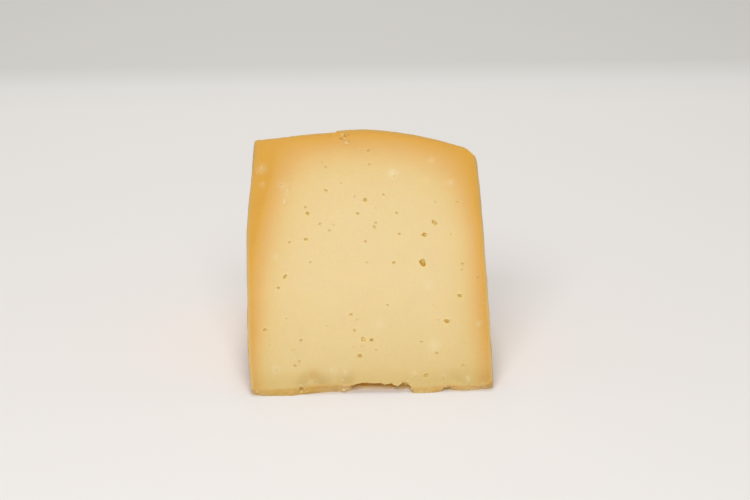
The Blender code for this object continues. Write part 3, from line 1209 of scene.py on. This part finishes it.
def paste_material():
    """The cut paste, ochre where it has dried at the rind, with soft patches, painted shade, and pale
    eye rims of painted light.
    """
    material, tree, surface = start_material("smoked_paste")
    # Painted shade towards the thin front edge, partly the drier paste there
    colour = paint_low_shade(tree, smoked_colour(tree))
    colour = lay_over(tree, colour, DRIED_PASTE, read_share(tree, "dried"), DRIED_STRENGTH)
    dried_band = add_ramp(tree, read_share(tree, "outward"), DRIED_BAND_RAMP)
    colour = lay_over(tree, colour, dried_band, read_share(tree, "rind_band"))
    for name, shade in (("darker_patches", DARKER_PATCH_SHADE), ("stained", STAINED_SHADE)):
        colour = mix_colours(tree, read_share(tree, name), colour, shade, "MULTIPLY")
    # The broken strip's ochre, partly painted shade; painted shadow under the lip; pale crumbly paste
    # with painted light
    for name, layer in (("front_band", DRIED_FRONT_AND_PAINTED_SHADE), ("undercut_painted_shade", UNDERCUT_PAINTED_SHADE), ("crumbly_and_painted_light", CRUMBLY_AND_PAINTED_LIGHT)):
        colour = lay_over(tree, colour, layer, read_share(tree, name))
    # Painted light: a pale rim round each eye's mouth
    colour = lay_over(tree, colour, EYE_RIM_PAINTED_LIGHT, read_share(tree, "eye_rim_painted_light"), EYE_RIM_PAINTED_LIGHT_STRENGTH)
    colour = vary_brightness(tree, colour, add_noise(tree, 9.0 * MM), 0.05)
    colour = vary_brightness(tree, colour, add_noise(tree, 1.1 * MM, 3.0), 0.05)
    roughness = calculate(tree, "ADD", centred(tree, add_noise(tree, 3.0 * MM), 0.2), 0.55)
    set_inputs(tree, surface, {
        "Base Color": colour,
        "Roughness": roughness,
        "Specular IOR Level": 0.2,
    })
    grain = add_noise(tree, 0.8 * MM, 4.0, 0.6)
    soften_and_bump(tree, surface, PASTE_INSIDE, grain, 0.12 * MM)
    return material


def rind_material():
    """The smoked rind: golden brown, mottled and waxy, with a fine crackle, pores and hoop marks."""
    material, tree, surface = start_material("smoked_rind")
    drift = calculate(tree, "MULTIPLY", add_noise(tree, 30.0 * MM, 2.0), 0.6)
    mottle = calculate(tree, "MULTIPLY", add_noise(tree, 6.0 * MM, 5.0, 0.62), 0.4)
    colour = add_ramp(tree, calculate(tree, "ADD", drift, mottle), RIND_RAMP)
    colour = lay_over(tree, colour, RIND_RUBBED, read_share(tree, "rubbed"), RUBBED_STRENGTH)
    bloom = fade_out(tree, add_noise(tree, 13.0 * MM, 4.0, 0.6), 0.30, 0.46)
    colour = lay_over(tree, colour, RIND_BLOOM, bloom, BLOOM_STRENGTH)
    cracks = fade_out(tree, add_cells(tree, 6.5 * MM, "DISTANCE_TO_EDGE", 9.0 * MM), 0.0, 0.05)
    dry_places = fade_out(tree, add_noise(tree, 14.0 * MM, 4.0, 0.6), 0.60, 0.42)
    cracks = calculate(tree, "MULTIPLY", cracks, dry_places)
    colour = lay_over(tree, colour, RIND_CRACK, cracks, CRACK_STRENGTH)
    pores = fade_out(tree, add_cells(tree, 4.2 * MM, "F1", 2.0 * MM), 0.06, 0.13)
    colour = lay_over(tree, colour, RIND_PORE, pores, PORE_STRENGTH)
    hoop_marks = add_noise(tree, 1.5 * MM, 2.0, 0.5, (1.0, 0.05, 0.05))
    colour = vary_brightness(tree, colour, hoop_marks, 0.12)
    colour = vary_brightness(tree, colour, add_noise(tree, 0.6 * MM, 3.0), 0.14)
    roughness = calculate(tree, "ADD", centred(tree, add_noise(tree, 2.4 * MM, 4.0), 0.3), 0.48)
    set_inputs(tree, surface, {
        "Base Color": colour,
        "Roughness": roughness,
        "Specular IOR Level": 0.25,
    })
    grain = add_noise(tree, 0.9 * MM, 5.0, 0.65)
    grain = calculate(tree, "ADD", grain, calculate(tree, "MULTIPLY", hoop_marks, 0.5))
    dents = calculate(tree, "ADD", calculate(tree, "MULTIPLY", cracks, 0.25), pores)
    height = calculate(tree, "SUBTRACT", grain, dents)
    soften_and_bump(tree, surface, RIND_INSIDE, height, 0.22 * MM)
    return material


def eye_material():
    """The inside of an eye: smoother than the cut around it, with painted shade that makes it darker
    and more golden the deeper it is.
    """
    material, tree, surface = start_material("eye_wall")
    wander = centred(tree, add_noise(tree, 1.5 * MM), 0.16)
    # Painted shade: the deeper the wall, the darker and more golden
    colour = add_ramp(tree, calculate(tree, "ADD", read_share(tree, "cut_depth"), wander), EYE_PAINTED_SHADE_RAMP)
    smoke = read_share(tree, "smoke")
    colour = lay_over(tree, colour, EYE_SMOKED, smoke, smoke)
    set_inputs(tree, surface, {"Base Color": colour, "Roughness": 0.4})
    soften_and_bump(tree, surface, EYE_INSIDE, add_noise(tree, 0.5 * MM, 3.0), 0.06 * MM)
    return material


def crumb_material():
    """Dried crumbs: paler and rougher than the paste around them, less so where it is smoked, with
    the paste's painted shade low down.
    """
    material, tree, surface = start_material("dried_crumb")
    dryness = change_over(tree, add_noise(tree, 2.6 * MM), 0.3, 0.7, *CRUMB_DRYNESS)
    kept = change_over(tree, read_share(tree, "smoke"), 0.0, SMOKED_CRUMB, 1.0, SMOKED_DRYNESS)
    colour = lay_over(tree, smoked_colour(tree), DRIED_CRUMB, dryness, kept)
    set_inputs(tree, surface, {
        # The same painted shade low down as on the paste around
        "Base Color": paint_low_shade(tree, colour),
        "Roughness": 0.7,
        "Specular IOR Level": 0.2,
    })
    soften_and_bump(tree, surface, CRUMB_INSIDE, add_noise(tree, 0.5 * MM, 3.0), 0.06 * MM)
    return material


def table_material(origin):
    """A plain pale table that turns grey far behind the cheese: painted shade."""
    material, tree, surface = start_material("pale_table")
    back = add_node(tree, "ShaderNodeSeparateXYZ", {"Vector": object_place(tree)}).outputs["Y"]
    turn = (origin.y + FLOOR_TURN_START, origin.y + FLOOR_TURN_END)
    set_inputs(tree, surface, {
        "Base Color": add_ramp(tree, change_over(tree, back, *turn), TABLE_AND_PAINTED_SHADE_RAMP),
        "Roughness": 0.9,
        "Specular IOR Level": 0.1,
    })
    return material


# The set

def lay_table(origin):
    bpy.ops.mesh.primitive_plane_add(size=FLOOR_SIZE)
    table = bpy.context.object
    table.name = "table_top"
    table.data.materials.append(table_material(origin))


def aim(thing, target):
    thing.rotation_mode = "QUATERNION"
    thing.rotation_quaternion = (target - thing.location).to_track_quat("-Z", "Y")


def add_softbox(name, place, target, size, power):
    bpy.ops.object.light_add(type="AREA", location=place)
    softbox = bpy.context.object
    softbox.name = name
    softbox.data.shape = "RECTANGLE"
    softbox.data.size, softbox.data.size_y = size
    softbox.data.energy = power
    aim(softbox, Vector(target))


def light_set():
    world = bpy.data.worlds.new("soft_room")
    world.use_nodes = True
    dome = world.node_tree.nodes["Background"]
    dome.inputs["Color"].default_value = DOME_COLOUR
    dome.inputs["Strength"].default_value = DOME_STRENGTH
    bpy.context.scene.world = world
    for name, softbox in SOFTBOXES.items():
        add_softbox(name, *softbox)
    bpy.context.scene.view_settings.view_transform = "Standard"


def place_camera(origin):
    target = origin + Vector(CAMERA_TARGET)
    flat = math.cos(CAMERA_ELEVATION)
    back = Vector((
        math.sin(CAMERA_AZIMUTH) * flat,
        -math.cos(CAMERA_AZIMUTH) * flat,
        math.sin(CAMERA_ELEVATION),
    ))
    bpy.ops.object.camera_add(location=target + back * CAMERA_DISTANCE)
    camera = bpy.context.object
    camera.name = "camera"
    camera.data.lens = CAMERA_LENS
    aim(camera, target)
    bpy.context.scene.camera = camera


def build():
    origin = axis_start()
    wedge = build_wedge(origin, paste_material(), rind_material())
    cut_eyes(wedge, origin, eye_material())
    write_wedge_shares(wedge, origin)
    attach(wedge, "root")
    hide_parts("cheese")
    crumbs = add_crumbs(origin, crumb_material())
    write_crumb_shares(crumbs, origin)
    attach(crumbs, "root")
    lay_table(origin)
    light_set()
    place_camera(origin)


build()
